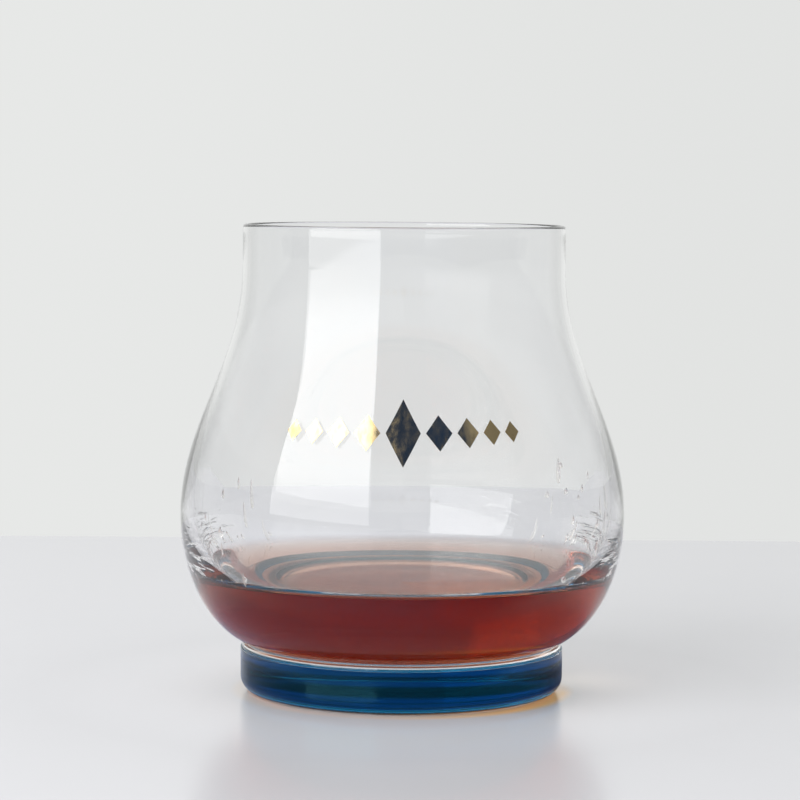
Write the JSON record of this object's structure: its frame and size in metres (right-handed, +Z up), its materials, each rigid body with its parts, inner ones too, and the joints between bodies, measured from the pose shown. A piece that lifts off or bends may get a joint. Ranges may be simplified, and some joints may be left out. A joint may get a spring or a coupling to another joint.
{
  "type": "whisky tumbler",
  "caption": "Clear whisky tumbler with a wide belly and upright neck on a thick foot lacquered blue, gilded with a row of lozenges and holding a low pour of whisky.",
  "frame": {"origin": "centre of the standing ring, on the surface that the tumbler stands on", "axes": "+Z up along the axis that the glass is turned about, and the gilding faces -Y"},
  "size_m": [0.0918, 0.0918, 0.0965],
  "materials": {
    "clear_glass": "fire-polished clear",
    "blue_lacquer": "see-through gloss lacquer",
    "whisky": "still clear liquid",
    "gilding": "polished gilding"
  },
  "bodies": {
    "root": {"bowl": "clear_glass", "foot": "clear_glass", "foot_lacquer": "blue_lacquer", "whisky": "whisky", "gilt_lozenge_middle": "gilding", "gilt_lozenge_left_1": "gilding", "gilt_lozenge_left_2": "gilding", "gilt_lozenge_left_3": "gilding", "gilt_lozenge_left_4": "gilding", "gilt_lozenge_right_1": "gilding", "gilt_lozenge_right_2": "gilding", "gilt_lozenge_right_3": "gilding", "gilt_lozenge_right_4": "gilding"}
  },
  "joints": []
}
